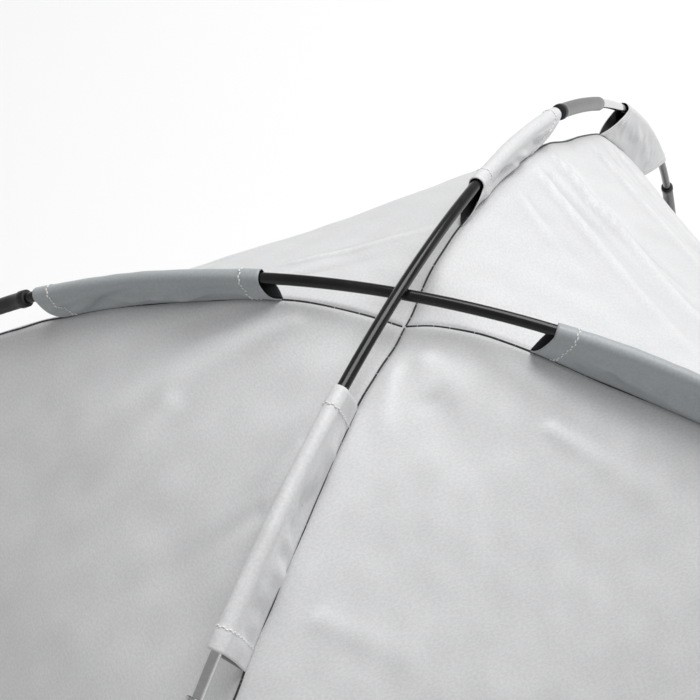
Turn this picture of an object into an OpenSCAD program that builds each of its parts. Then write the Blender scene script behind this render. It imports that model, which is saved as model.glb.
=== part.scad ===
// A two-pole dome tent. A coated canopy hangs in sewn sleeves below two jointed rods that
// cross over the roof, the over pole lying on the under pole. The zipped door and the
// window flap fold down on their sills. The origin is on the ground below the crossing,
// +X runs along the long side and -Y is the door side.

/* [Poles] */
// Outside diameter of the rods
pole_d = 8.5; // [7.5:0.5:10]
// Wall of the hollow rods
rod_wall = 2; // [1.6:0.1:2.2]
// Diameter of the elastic cord inside each pole
cord_d = 2.6; // [2:0.2:3]
// Bend radius of the under pole over the roof
roof_radius = 623; // [540:1:760]
// Length of rod from the crossing to the upper joint
roof_arc = 350; // [330:2:390]
// Bend radius of the under pole at the shoulders
shoulder_radius = 1093; // [880:5:1400]
// Length of rod from the upper joint to the lower joint
shoulder_arc = 600; // [480:10:720]
// Straight length of each leg, down to the canopy's foot
leg_length = 600; // [500:10:720]
// Angle between each pole and the long side, seen from above
pole_angle = 39.9; // [33:0.1:46]
// Clearance between the two poles where they cross
crossing_gap = 0.3; // [0.2:0.1:1]

/* [Pole joints] */
// Length of each ferrule
ferrule_length = 130; // [80:5:140]
// Wall of the ferrules around the rods
ferrule_wall = 2.05; // [1.5:0.05:3]
// Depth of a ferrule's open socket
socket_depth = 34; // [24:1:38]
// Clearance around the rod in an open socket
socket_gap = 0.7; // [0.6:0.05:0.9]
// Width of the raised rim around a socket's mouth
rim_w = 6; // [4:0.5:10]
// Height of the rim above the ferrule
rim_h = 0.7; // [0.4:0.1:1.2]
// Clearance around a rod in a ferrule's fixed end, and around a plug in a rod
slip_gap = 0.1; // [0.05:0.05:0.3]
// Gap between the two rods inside a ferrule
butt_gap = 1; // [0.5:0.5:3]

/* [Canopy] */
// Thickness of the canopy cloth with its coating
cloth = 1.6; // [1.2:0.2:2.4]
// Distance from the under pole down to the canopy's ridge seam
seam_drop = 24; // [20:1:34]
// Width of the rolled ridge seam
seam_w = 3; // [2:0.5:5]
// Depth of the rolled ridge seam
seam_depth = 3.5; // [2.5:0.5:5]
// Clearance between sewn pieces that lie side by side
sewn_gap = 0.3; // [0.2:0.1:0.6]

/* [Pole sleeves] */
// Clearance between a rod and the sleeve around it
sleeve_slack = 1.2; // [0.6:0.2:2.5]
// Wall of a sleeve
sleeve_wall = 1; // [0.6:0.2:1.6]
// Distance from the crossing to the start of a roof sleeve
roof_sleeve_start = 98; // [70:2:110]
// Distance from the end of a roof sleeve to the ferrule below it
roof_sleeve_gap = 24; // [24:2:60]
// How much lower the back right roof sleeve is sewn
back_sleeve_shift = 22; // [0:2:24]
// Distance from the upper ferrule to the shoulder sleeve below it
shoulder_sleeve_start_gap = 106; // [20:2:130]
// Distance from the end of a shoulder sleeve to the lower ferrule
shoulder_sleeve_end_gap = 96; // [20:2:130]
// Distance from the lower ferrule to the leg sleeve below it
leg_sleeve_gap = 154; // [20:2:200]
// Distance from the foot of the canopy up to a leg sleeve
leg_sleeve_rise = 90; // [60:5:120]

/* [Floor and corners] */
// Thickness of the groundsheet
floor_t = 2.4; // [1.6:0.2:4]
// Margin of the groundsheet around the canopy's foot
floor_margin = 10; // [8:1:20]
// Width of the corner webbing
tab_w = 25; // [22:1:32]
// Thickness of the corner webbing
tab_t = 1.6; // [1.2:0.2:2.2]
// Length of the corner webbing
tab_length = 110; // [105:1:140]
// Bore radius of the eyelets
eyelet_r = 5; // [4:0.5:6]
// Wall of an eyelet's barrel
eyelet_wall = 1; // [0.8:0.1:1.4]
// Width and thickness of an eyelet's flange
eyelet_flange = [2.5, 0.6];
// Distance from the end of the webbing to the peg eyelet
peg_inset = 16; // [13:1:20]
// Radius of the pin on a pole tip
tip_pin_r = 2.2; // [1.5:0.1:3]
// Length of a pole tip's collar
tip_collar = 14; // [10:1:20]
// Length of a pole tip's plug inside the rod
tip_plug = 25; // [15:1:35]

/* [Door and window] */
// Height of cloth from the door's top up to the first bend of the wall
door_margin = 52; // [40:2:120]
// Height of the door's sill up the front wall
door_sill = 62; // [50:2:66]
// Height of cloth from the window's top up to the first bend of the wall
window_margin = 74; // [60:2:120]
// Height of the window's sill up the back wall
window_sill = 300; // [260:5:320]
// Width of the zip between a flap and its opening
zip_w = 16; // [14:1:22]
// Radius of the zip's coil
coil_r = 1.2; // [0.8:0.1:1.5]
// Gap along a flap's sewn sill
sill_gap = 1.2; // [0.8:0.1:2]
// Angle from the end of a zip to its closed slider
slider_home = 6; // [5:1:10]
// Length of a slider's pull
pull_length = 26; // [20:1:34]

/* [Hidden] */
CORNERS = ["front_left", "front_right", "back_right", "back_left"];
WALLS = ["right", "back", "left", "front"];
SLEEVES = ["roof", "shoulder", "leg"];
$fn = 48;

pole_black = [0.07, 0.07, 0.08];
steel = [0.62, 0.63, 0.65];
silver_cloth = [0.82, 0.83, 0.85];
shade_cloth = [0.72, 0.74, 0.76];

// The path of the under pole: a roof bend, a shoulder bend and a straight leg, joined at the
// pole's joints.
roof_turn = roof_arc / roof_radius * 180 / PI;
leg_tilt = roof_turn + shoulder_arc / shoulder_radius * 180 / PI;
leg_start = roof_arc + shoulder_arc;
over_out = pole_d + crossing_gap;
pole_bore = pole_d - 2 * rod_wall;
ferrule_d = pole_d + 2 * ferrule_wall;
hem_z = floor_t + sewn_gap;

// Places in a leg's own plane are [distance from the tent's axis, height].
ridge_roof_radius = roof_radius - seam_drop;
ridge_shoulder_radius = shoulder_radius - seam_drop;
function swing(radius, angle) = radius * [sin(angle), cos(angle)];
ridge_drop = ridge_roof_radius * (1 - cos(roof_turn))
    + ridge_shoulder_radius * (cos(roof_turn) - cos(leg_tilt)) + leg_length * sin(leg_tilt);
roof_center = [0, hem_z + ridge_drop - ridge_roof_radius];
shoulder_center = roof_center + swing(roof_radius - shoulder_radius, roof_turn);
function leg_point(out, along) =
    shoulder_center + swing(shoulder_radius + out, leg_tilt) + along * [cos(leg_tilt), -sin(leg_tilt)];
function along_at(out, height) = (leg_point(out, 0)[1] - height) / sin(leg_tilt);
foot_rho = leg_point(-seam_drop, leg_length)[0];

// The walls: each is ruled along its own side, with its outline bent as the ridge is.
long_half = foot_rho * cos(pole_angle);
short_half = foot_rho * sin(pole_angle);
wall_tilt = atan2(sin(leg_tilt), cos(leg_tilt) * sin(pole_angle));
edge_inset = seam_w / 2 + sewn_gap;
seam_top = 0.5 - seam_drop;
roof_steps = 9;
shoulder_steps = 10;
ridge_stations = concat(
    [for (i = [0 : roof_steps]) roof_arc * i / roof_steps],
    [for (i = [1 : shoulder_steps]) roof_arc + shoulder_arc * i / shoulder_steps],
    [leg_start + leg_length]
);
ridge_line = [for (s = ridge_stations) place(s, -seam_drop)];

// The corners: the groundsheet's corner is cut square to carry the webbing.
tab_z = eyelet_flange[1];
corner_rho = norm([long_half + floor_margin, short_half + floor_margin]);
corner_angle = atan2(short_half + floor_margin, long_half + floor_margin);
tab_start = corner_rho - tab_w / 2 / tan(min(corner_angle, 90 - corner_angle)) - 1;
eyelet_top = tab_t + 2 * eyelet_flange[1];
tip_z = eyelet_top + pole_d / 2 + 2;

// The door and the window lie in the flat part of their walls, below the lower bend.
flat_height = leg_length * sin(leg_tilt) / sin(wall_tilt);
door_r = flat_height - door_sill - door_margin;
window_r = flat_height - window_sill - window_margin;
door_coil_r = door_r - zip_w / 2;
window_coil_r = window_r - zip_w / 2;
slider_base = coil_r + 0.4;
slider_size = [9, 12, 1.4];
bridge = [2.4, 9, 1];
bridge_rise = 2.2;
bridge_post = 1;
pull_pin_r = 0.7;
pull_w = 8;
pull_arm = [1.2, 8, 1.2];
pull_arm_gap = 0.6;
zip_end_angle = 0.3;
mesh_margin = 8;
pull_pin_z = slider_base + slider_size[2] + bridge_rise / 2;

function is_over(corner) = corner == 0 || corner == 2;
function leg_azimuth(corner) = [180 + pole_angle, -pole_angle, pole_angle, 180 - pole_angle][corner];
function pole_out(corner) = is_over(corner) ? over_out : 0;
function tip_along(corner) = along_at(pole_out(corner), tip_z);
function turn(length, radius) = length / radius * 180 / PI;

// How the path leans at a station, and the place at a station and a distance out from it. A
// station is the distance along the under pole from the crossing, less than 0 on the far leg.
function tilt(s) = s < 0 ? -tilt(-s)
    : s < roof_arc ? turn(s, roof_radius)
    : roof_turn + turn(min(s, leg_start) - roof_arc, shoulder_radius);
function place(s, out) = s < 0 ? let (p = place(-s, out)) [-p[0], p[1]]
    : s < roof_arc ? roof_center + swing(roof_radius + out, tilt(s))
    : s < leg_start ? shoulder_center + swing(shoulder_radius + out, tilt(s))
    : leg_point(out, s - leg_start);

// Sweeps a profile along one bend or leg, the one that holds the station given last. The
// profile's x is outwards from the under pole's axis and its y is across the leg.
module run(corner, from, to, on)
    rotate([0, 0, leg_azimuth(corner)]) {
        if (on > leg_start)
            up_from(leg_point(0, to - leg_start), leg_tilt) linear_extrude(to - from) children();
        else if (on > roof_arc)
            bend(shoulder_center, shoulder_radius, roof_turn + turn(from - roof_arc, shoulder_radius),
                turn(to - from, shoulder_radius)) children();
        else
            bend(roof_center, roof_radius, turn(from, roof_radius), turn(to - from, roof_radius))
                children();
    }

module bend(center, radius, start, angle)
    translate([center[0], 0, center[1]])
        rotate([0, -90, -90])
            rotate_extrude(angle = angle, start = start, $fn = 180)
                translate([radius, 0]) children();

// +Z points up the leg and +X out of it.
module up_from(point, tilt)
    translate([point[0], 0, point[1]]) rotate([0, tilt - 90, 0]) children();

// One closed soft strip through a list of stations, with a cross-section of [out, across].
module strip(corner, stations, section) {
    n = len(section);
    last = len(stations) - 1;
    points = [for (s = stations, q = section)
        let (p = place(s, q[0])) [p[0], q[1], p[1]]];
    rotate([0, 0, leg_azimuth(corner)])
        polyhedron(points, concat(
            [[for (k = [0 : n - 1]) k], [for (k = [n - 1 : -1 : 0]) last * n + k]],
            [for (i = [0 : last - 1], k = [0 : n - 1])
                let (a = i * n + k, b = i * n + (k + 1) % n) [a, a + n, b + n, b]]));
}

module disc_profile(corner, d) translate([pole_out(corner), 0]) circle(d = d);

module rod(corner, from, to)
    color(pole_black)
        run(corner, from, to, (from + to) / 2) difference() {
            disc_profile(corner, pole_d);
            disc_profile(corner, pole_bore);
        }

module center_rod(corner) rod(corner, -roof_arc + butt_gap / 2, roof_arc - butt_gap / 2);
module shoulder_rod(corner) rod(corner, roof_arc + butt_gap / 2, leg_start - butt_gap / 2);
module leg_rod(corner)
    rod(corner, leg_start + butt_gap / 2, leg_start + tip_along(corner) - tip_collar);

// A ferrule is fixed on the lower rod, and its open socket takes the end of the upper rod.
module ferrule(corner, joint) {
    mouth = mouth_at(joint);
    end = ferrule_end(joint);
    color(steel) difference() {
        union() {
            run(corner, mouth, end, end) disc_profile(corner, ferrule_d);
            run(corner, mouth, mouth + rim_w, end) disc_profile(corner, ferrule_d + 2 * rim_h);
        }
        run(corner, mouth - 1, joint + butt_gap / 2, end) disc_profile(corner, pole_d + 2 * socket_gap);
        run(corner, mouth, end + 1, end) disc_profile(corner, pole_d + 2 * slip_gap);
    }
}

// The elastic cord runs from tip to tip inside its pole.
module shock_cord(corner) {
    sides = 8;
    end = leg_start + tip_along(corner) - tip_collar - tip_plug - slip_gap;
    steps = 60;
    section = [for (k = [0 : sides - 1])
        [pole_out(corner) + cord_d / 2 * cos(360 * k / sides), cord_d / 2 * sin(360 * k / sides)]];
    color("white") strip(corner, [for (i = [-steps / 2 : steps / 2]) end * 2 * i / steps], section);
}

module pole_tip(corner) {
    pin_length = tip_z / sin(leg_tilt) - tip_pin_r / tan(leg_tilt);
    color(pole_black)
        rotate([0, 0, leg_azimuth(corner)])
        up_from(leg_point(pole_out(corner), tip_along(corner)), leg_tilt) {
            cylinder(r = ferrule_d / 2, h = tip_collar - slip_gap);
            translate([0, 0, -pin_length]) cylinder(r = tip_pin_r, h = pin_length + 1);
            cylinder(d = pole_bore - 2 * slip_gap, h = tip_collar + tip_plug);
        }
}

function pin_rho(corner) = leg_point(pole_out(corner), along_at(pole_out(corner), eyelet_top / 2))[0];
function peg_rho() = tab_start + tab_length - peg_inset;

module corner_webbing(corner)
    color(pole_black)
        rotate([0, 0, leg_azimuth(corner)]) difference() {
            translate([tab_start, -tab_w / 2, tab_z]) cube([tab_length, tab_w, tab_t]);
            for (rho = [pin_rho(corner), peg_rho()])
                translate([rho, 0, 0]) cylinder(r = eyelet_r + eyelet_wall + slip_gap, h = eyelet_top);
        }

module eyelet()
    difference() {
        union() {
            cylinder(r = eyelet_r + eyelet_wall, h = eyelet_top);
            for (z = [0, eyelet_top - eyelet_flange[1]])
                translate([0, 0, z])
                    cylinder(r = eyelet_r + eyelet_wall + eyelet_flange[0], h = eyelet_flange[1]);
        }
        translate([0, 0, -1]) cylinder(r = eyelet_r, h = eyelet_top + 2);
    }

module corner_eyelets()
    color("gold")
        for (corner = [0 : 3], rho = [pin_rho(corner), peg_rho()])
            rotate([0, 0, leg_azimuth(corner)]) translate([rho, 0, 0]) eyelet();

module groundsheet()
    color(shade_cloth)
        linear_extrude(floor_t) intersection() {
            square(2 * [long_half + floor_margin, short_half + floor_margin], center = true);
            intersection_for(corner = [0 : 3])
                rotate(leg_azimuth(corner)) translate([-3 * foot_rho + tab_start, -2 * foot_rho])
                    square([3 * foot_rho, 4 * foot_rho]);
        }

// One wall, ruled across +X: spread is how far the ridge line reaches along X.
module wall_sheet(spread) {
    outer = [for (p = ridge_line) [p[0] * spread, p[1]]];
    last = len(outer) - 1;
    inner = [for (i = [0 : last])
        let (d = i == 0 ? [1, 0] : outer[min(i + 1, last)] - outer[i - 1],
             n = [d[1], -d[0]] / norm(d))
        outer[i] + cloth * n];
    rotate([90, 0, 0])
        linear_extrude(3 * foot_rho, center = true)
            polygon(concat(outer, [[inner[last][0], outer[last][1]]],
                [for (i = [last - 1 : -1 : 0]) inner[i]]));
}

module wall_wedge(half_angle)
    translate([edge_inset / sin(half_angle), 0, 0])
        linear_extrude(2 * foot_rho)
            polygon([[0, 0], 2 * foot_rho * [cos(half_angle), -sin(half_angle)],
                2 * foot_rho * [cos(half_angle), sin(half_angle)]]);

module canopy_wall(wall) {
    long_side = wall % 2 == 1;
    rotate([0, 0, 90 * wall]) intersection() {
        wall_sheet(long_side ? sin(pole_angle) : cos(pole_angle));
        wall_wedge(long_side ? 90 - pole_angle : pole_angle);
    }
}

// The frame of a long wall: X across, Y up the wall from its foot, Z out of the wall.
module on_front() translate([0, -short_half, hem_z]) rotate([wall_tilt, 0, 0]) children();
module on_back() rotate([0, 0, 180]) on_front() children();

module half_moon(radius, z, thickness)
    translate([0, 0, z]) rotate_extrude(angle = 180, $fn = 120) square([radius, thickness]);

module canopy_panel(wall)
    color(silver_cloth)
        difference() {
            canopy_wall(wall);
            if (wall == 3)
                on_front() translate([0, door_sill, 0]) half_moon(door_r, -2 * cloth, 4 * cloth);
            if (wall == 1)
                on_back() translate([0, window_sill, 0]) half_moon(window_r, -2 * cloth, 4 * cloth);
        }

module ridge_seam(corner) {
    start = is_over(corner) ? 0 : edge_inset;
    stations = concat([start], [for (i = [1 : len(ridge_stations) - 1]) ridge_stations[i]]);
    bottom = seam_top - seam_depth;
    color(shade_cloth)
        strip(corner, stations, [[seam_top, -seam_w / 2], [seam_top, seam_w / 2],
            [bottom, seam_w / 2], [bottom, -seam_w / 2]]);
}

module sleeve_profile(out, radius, bottom, half_w) {
    translate([out, 0]) circle(r = radius);
    polygon([[out - 0.25 * radius, -0.97 * radius], [out - 0.25 * radius, 0.97 * radius],
        [bottom, half_w], [bottom, -half_w]]);
}

module sleeve(corner, from, to) {
    out = pole_out(corner);
    bore = pole_d / 2 + sleeve_slack;
    bottom = seam_top + sewn_gap;
    color(shade_cloth)
        run(corner, from, to, to) difference() {
            sleeve_profile(out, bore + sleeve_wall, bottom, seam_w / 2);
            sleeve_profile(out, bore, bottom + 3 * sleeve_wall, seam_w / 2 - sleeve_wall);
        }
}

// Each sleeve lies between two joints, or between a joint and the canopy's foot.
function mouth_at(joint) = joint - socket_depth;
function ferrule_end(joint) = mouth_at(joint) + ferrule_length;
function sleeve_shift(corner, kind) = kind == 0 && corner == 2 ? back_sleeve_shift : 0;
function sleeve_start(corner, kind) = sleeve_shift(corner, kind)
    + [roof_sleeve_start, ferrule_end(roof_arc) + shoulder_sleeve_start_gap,
        ferrule_end(leg_start) + leg_sleeve_gap][kind];
function sleeve_end(corner, kind) = sleeve_shift(corner, kind)
    + [mouth_at(roof_arc) - roof_sleeve_gap, mouth_at(leg_start) - shoulder_sleeve_end_gap,
        leg_start + leg_length - leg_sleeve_rise][kind];

module flap(radius)
    color(silver_cloth)
        intersection() {
            half_moon(radius - zip_w - sewn_gap, -cloth, cloth);
            translate([-radius, sill_gap, -2 * cloth]) cube([2 * radius, radius, 4 * cloth]);
        }

module zip(radius)
    color(pole_black)
        rotate([0, 0, zip_end_angle]) rotate_extrude(angle = 180 - 2 * zip_end_angle, $fn = 120) {
            translate([radius - zip_w, -cloth + 0.2]) square([zip_w - sewn_gap, cloth - 0.4]);
            translate([radius - zip_w / 2, 0]) circle(r = coil_r);
        }

// A slider and its pull, drawn on the coil with +Y along the travel and Z out of the wall.
module slider_body()
    color(steel) {
        translate([-slider_size[0] / 2, -slider_size[1] / 2, slider_base]) cube(slider_size);
        top = slider_base + slider_size[2];
        translate([-bridge[0] / 2, -bridge[1] / 2, top + bridge_rise]) cube(bridge);
        for (y = [-bridge[1] / 2, bridge[1] / 2 - bridge_post])
            translate([-bridge[0] / 2, y, top - 0.2]) cube([bridge[0], bridge_post, bridge_rise + 0.4]);
    }

module pull_tab() {
    arm = pull_arm;
    arm_x = bridge[0] / 2 + pull_arm_gap;
    color(steel)
        translate([0, 0, pull_pin_z]) {
            rotate([0, 90, 0]) cylinder(r = pull_pin_r, h = 2 * (arm_x + arm[0]), center = true);
            for (side = [-1, 1])
                translate([side * (arm_x + arm[0] / 2) - arm[0] / 2, -arm[1], -arm[2] / 2]) cube(arm);
            translate([-pull_w / 2, -pull_length, -arm[2] / 2])
                cube([pull_w, pull_length - arm[1] + 1, arm[2]]);
        }
}

module on_zip(coil_radius, sill)
    translate([0, sill, 0]) rotate([0, 0, slider_home]) translate([coil_radius, 0, 0]) children();

for (corner = [0 : 3]) {
    c = CORNERS[corner];
    shoulder_rod(corner);
    leg_rod(corner);
    ferrule(corner, roof_arc);
    ferrule(corner, leg_start);
    pole_tip(corner);
    corner_webbing(corner);
    ridge_seam(corner);
    canopy_panel(corner);
    for (kind = [0 : 2])
        sleeve(corner, sleeve_start(corner, kind), sleeve_end(corner, kind));
}
center_rod(0);  // over_pole_center
center_rod(1);  // under_pole_center
shock_cord(0);  // over_pole_shock_cord
shock_cord(1);  // under_pole_shock_cord
corner_eyelets();
groundsheet();
on_front() translate([0, door_sill, 0]) flap(door_r);  // door_flap
on_front() translate([0, door_sill, 0]) zip(door_r);  // door_zip
on_front() on_zip(door_coil_r, door_sill) slider_body();  // door_slider
on_front() on_zip(door_coil_r, door_sill) pull_tab();  // door_pull
color(pole_black) on_back() translate([0, window_sill, 0])  // window_mesh
        intersection() {
            half_moon(window_r + mesh_margin, -2 * cloth - sewn_gap, cloth);
            translate([-window_r, -2 * cloth, -3 * cloth]) cube([2 * window_r, 2 * window_r, 3 * cloth]);
        }
on_back() translate([0, window_sill, 0]) flap(window_r);  // window_flap
on_back() translate([0, window_sill, 0]) zip(window_r);  // window_zip
on_back() on_zip(window_coil_r, window_sill) slider_body();  // window_slider
on_back() on_zip(window_coil_r, window_sill) pull_tab();  // window_pull
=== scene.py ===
import math

import bpy
import numpy as np
from mathutils import Matrix, Vector


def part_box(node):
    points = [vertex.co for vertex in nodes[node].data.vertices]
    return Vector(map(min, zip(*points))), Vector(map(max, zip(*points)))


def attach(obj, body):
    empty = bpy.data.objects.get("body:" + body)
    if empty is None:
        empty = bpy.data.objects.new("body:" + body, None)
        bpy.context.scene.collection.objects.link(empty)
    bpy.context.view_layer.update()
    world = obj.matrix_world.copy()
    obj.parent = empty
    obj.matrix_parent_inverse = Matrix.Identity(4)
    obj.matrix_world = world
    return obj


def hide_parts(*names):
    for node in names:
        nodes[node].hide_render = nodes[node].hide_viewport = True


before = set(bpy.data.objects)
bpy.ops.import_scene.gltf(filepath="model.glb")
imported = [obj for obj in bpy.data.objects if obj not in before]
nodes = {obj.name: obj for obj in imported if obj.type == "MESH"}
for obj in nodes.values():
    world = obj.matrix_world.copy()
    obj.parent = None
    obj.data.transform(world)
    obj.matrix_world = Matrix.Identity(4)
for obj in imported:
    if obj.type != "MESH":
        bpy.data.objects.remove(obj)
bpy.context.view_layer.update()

# The poles' path, in metres and degrees: a roof bend, a shoulder bend and a straight leg.
path = {
    "poleWidth": 0.0085,
    "roofRadius": 0.623,
    "roofArc": 0.350,
    "shoulderRadius": 1.093,
    "shoulderArc": 0.600,
    "legLength": 0.600,
    "poleAngle": 39.9,
    "overLift": 0.0088,
}
corners = ["front_left", "front_right", "back_right", "back_left"]
walls = ["right", "back", "left", "front"]
wallCorners = {"right": (1, 2), "back": (2, 3), "left": (3, 0), "front": (0, 1)}
roofTurn = path["roofArc"] / path["roofRadius"]
legTilt = roofTurn + path["shoulderArc"] / path["shoulderRadius"]
legStart = path["roofArc"] + path["shoulderArc"]
footStation = legStart + path["legLength"]
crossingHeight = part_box("under_pole_center")[1].z - path["poleWidth"] / 2


def cornerAngle(corner):
    angle = path["poleAngle"]
    return math.radians([180 + angle, -angle, angle, 180 - angle][corner])


def isOver(corner):
    return corner in (0, 2)


def poleLift(corner):
    return path["overLift"] if isOver(corner) else 0.0


def leanAt(station):
    far = np.abs(station)
    roof = far / path["roofRadius"]
    shoulder = roofTurn + (np.minimum(far, legStart) - path["roofArc"]) / path["shoulderRadius"]
    return np.sign(station) * np.where(far < path["roofArc"], roof, shoulder)


# Distance from the tent's axis and height, at a station along the pole and a distance out from it.
def placeAt(station, out):
    far = np.abs(station)
    lean = np.abs(leanAt(station))
    roofHeight = crossingHeight - path["roofRadius"]
    radius = np.where(far < path["roofArc"], path["roofRadius"], path["shoulderRadius"])
    past = path["roofRadius"] - path["shoulderRadius"]
    inRoof = far < path["roofArc"]
    centerRho = np.where(inRoof, 0, past * math.sin(roofTurn))
    centerHeight = roofHeight + np.where(inRoof, 0, past * math.cos(roofTurn))
    along = np.maximum(far - legStart, 0)
    rho = centerRho + (radius + out) * np.sin(lean) + along * math.cos(legTilt)
    height = centerHeight + (radius + out) * np.cos(lean) - along * math.sin(legTilt)
    return np.where(station < 0, -rho, rho), height


def spot(corner, station, out=0.0, across=0.0):
    rho, height = placeAt(np.asarray(station, float), out)
    c, s = math.cos(cornerAngle(corner)), math.sin(cornerAngle(corner))
    return np.stack([rho * c - across * s, rho * s + across * c, height + 0 * rho], -1)


def acrossOf(corner):
    return Vector((-math.sin(cornerAngle(corner)), math.cos(cornerAngle(corner)), 0))


def unit(vectors):
    return vectors / np.maximum(np.linalg.norm(vectors, axis=-1, keepdims=True), 1e-12)


# Distances run along a line of points.
def runAlong(points):
    return np.concatenate([[0], np.cumsum(np.linalg.norm(np.diff(points, axis=0), axis=-1))])


# A smooth line through a few values, given as (station, value) in millimetres.
def smoothLine(pairs, blur=0.014):
    fine = np.arange(-0.1, footStation + 0.1, 0.002)
    line = np.interp(fine, [p[0] / 1000 for p in pairs], [p[1] / 1000 for p in pairs])
    reach = np.arange(-30, 31) * 0.002
    kernel = np.exp(-((reach / blur) ** 2))
    padded = np.pad(line, 30, mode="edge")
    soft = np.convolve(padded, kernel / kernel.sum(), mode="valid")
    return lambda station: np.interp(station, fine, soft)


# A still field of soft waves, about 1 high, the same on each run.
def ripple(x, y, size, seed, count=16):
    draw = np.random.default_rng(seed)
    total = 0
    for _ in range(count):
        turn, phase = draw.uniform(0, 2 * math.pi, 2)
        wave = 2 * math.pi / (size * draw.uniform(0.7, 1.7))
        total = total + np.sin(wave * (x * math.cos(turn) + y * math.sin(turn)) + phase)
    return total / math.sqrt(count / 2)


# How far the ridge seam hangs below the under pole's line, and how far it leans across it.
seamHang = {
    0: [(0, 35), (30, 31), (60, 27), (90, 28), (135, 30), (190, 33), (235, 35), (320, 36), (480, 24)],
    1: [(0, 35), (20, 27), (54, 24), (96, 27), (120, 32), (147, 36), (190, 38), (300, 38), (480, 24)],
    2: [(0, 36), (24, 32), (50, 17), (83, 14), (250, 15), (300, 16), (359, 23), (482, 20), (560, 27),
        (700, 32), (900, 24)],
    3: [(0, 35), (27, 30), (57, 23), (94, 20), (164, 25), (300, 26), (480, 24)],
}
seamLean = {
    0: [(0, 0), (14, 2), (26, 3.8), (36, 2.8), (58, 3), (84, 1.6), (117, 3.4), (154, 4.9), (191, 6.3),
        (226, 6.8), (291, 7), (310, 8), (380, 6), (520, 0)],
    1: [(0, 0), (22, 1.6), (45, 0)],
    2: [(0, 0), (14, -1.2), (30, 1.5), (60, 0)],
    3: [(0, 0), (25, -1.4), (50, 0)],
}
hangLine = {corner: smoothLine(seamHang[corner]) for corner in range(4)}
leanLine = {corner: smoothLine(seamLean[corner]) for corner in range(4)}


def ridgePoint(corner, station, rise=0.0):
    station = np.asarray(station, float)
    return spot(corner, station, rise - hangLine[corner](station), leanLine[corner](station))


print("frame and path ready")

# A node's socket, so that shader maths reads as plain arithmetic.
class Wire:
    def __init__(self, paint, socket):
        self.paint = paint
        self.socket = socket

    def __add__(self, other):
        return self.paint.math("ADD", self, other)

    def __sub__(self, other):
        return self.paint.math("SUBTRACT", self, other)

    def __rsub__(self, other):
        return self.paint.math("SUBTRACT", other, self)

    def __mul__(self, other):
        return self.paint.math("MULTIPLY", self, other)

    __radd__ = __add__
    __rmul__ = __mul__


class NodeTree:
    def __init__(self, tree):
        self.tree = tree

    def node(self, kind, settings=None, values=None, output=0):
        made = self.tree.nodes.new(kind)
        for key, value in (settings or {}).items():
            if key == "stops":
                self.setStops(made.color_ramp, value)
            else:
                setattr(made, key, value)
        for key, value in (values or {}).items():
            self.feed(made.inputs[key], value)
        return Wire(self, made.outputs[output])

    def setStops(self, ramp, stops):
        ramp.interpolation = "EASE"
        for stop, (place, tone) in zip(ramp.elements, stops):
            stop.position = place
            stop.color = grey(tone)

    def feed(self, socket, value):
        if isinstance(value, Wire):
            self.tree.links.new(value.socket, socket)
        else:
            socket.default_value = value


class Paint(NodeTree):
    def __init__(self, name, **sockets):
        self.material = bpy.data.materials.new(name)
        self.material.use_nodes = True
        super().__init__(self.material.node_tree)
        self.shader = self.tree.nodes["Principled BSDF"]
        self.set(**sockets)

    def set(self, **sockets):
        for key, value in sockets.items():
            self.feed(self.shader.inputs[socketNames[key]], value)

    def math(self, operation, first, second=0.0):
        return self.node("ShaderNodeMath", {"operation": operation}, {0: first, 1: second})

    def between(self, value, low, high):
        settings = {"interpolation_type": "SMOOTHSTEP"}
        return self.node("ShaderNodeMapRange", settings, {"Value": value, "From Min": low, "From Max": high})

    def blendColors(self, share, first, second):
        values = {0: share, 6: first, 7: second}
        return self.node("ShaderNodeMix", {"data_type": "RGBA"}, values, output=2)

    def multiplyColors(self, first, second):
        settings = {"data_type": "RGBA", "blend_type": "MULTIPLY"}
        return self.node("ShaderNodeMix", settings, {0: 1.0, 6: first, 7: second}, output=2)

    def attribute(self, name):
        return self.node("ShaderNodeAttribute", {"attribute_name": name}, output="Fac")

    def split(self, vector, axis):
        return self.node("ShaderNodeSeparateXYZ", None, {0: vector}, output=axis)

    def objectPlace(self):
        return self.node("ShaderNodeTexCoord", output="Object")

    def cloth(self):
        return self.node("ShaderNodeUVMap", {"uv_map": "clothMap"})

    def scaled(self, vector, scale):
        return self.node("ShaderNodeMapping", None, {"Vector": vector, "Scale": scale})

    def noise(self, vector, scale, detail=2.0, roughness=0.5):
        values = {"Vector": vector, "Scale": scale, "Detail": detail, "Roughness": roughness}
        return self.node("ShaderNodeTexNoise", None, values)

    def wave(self, position, pitch):
        return self.math("SINE", position * (2 * math.pi / pitch)) * 0.5 + 0.5

    def bump(self, height, distance, strength=1.0):
        values = {"Height": height, "Distance": distance, "Strength": strength}
        self.set(normal=self.node("ShaderNodeBump", None, values))


socketNames = {
    "color": "Base Color", "rough": "Roughness", "metal": "Metallic", "normal": "Normal",
    "coat": "Coat Weight", "coatRough": "Coat Roughness", "alpha": "Alpha",
    "sheen": "Sheen Weight", "sheenRough": "Sheen Roughness", "specular": "Specular IOR Level",
}


def grey(tone, tint=(1, 1, 1)):
    return (tone * tint[0], tone * tint[1], tone * tint[2], 1)


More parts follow.
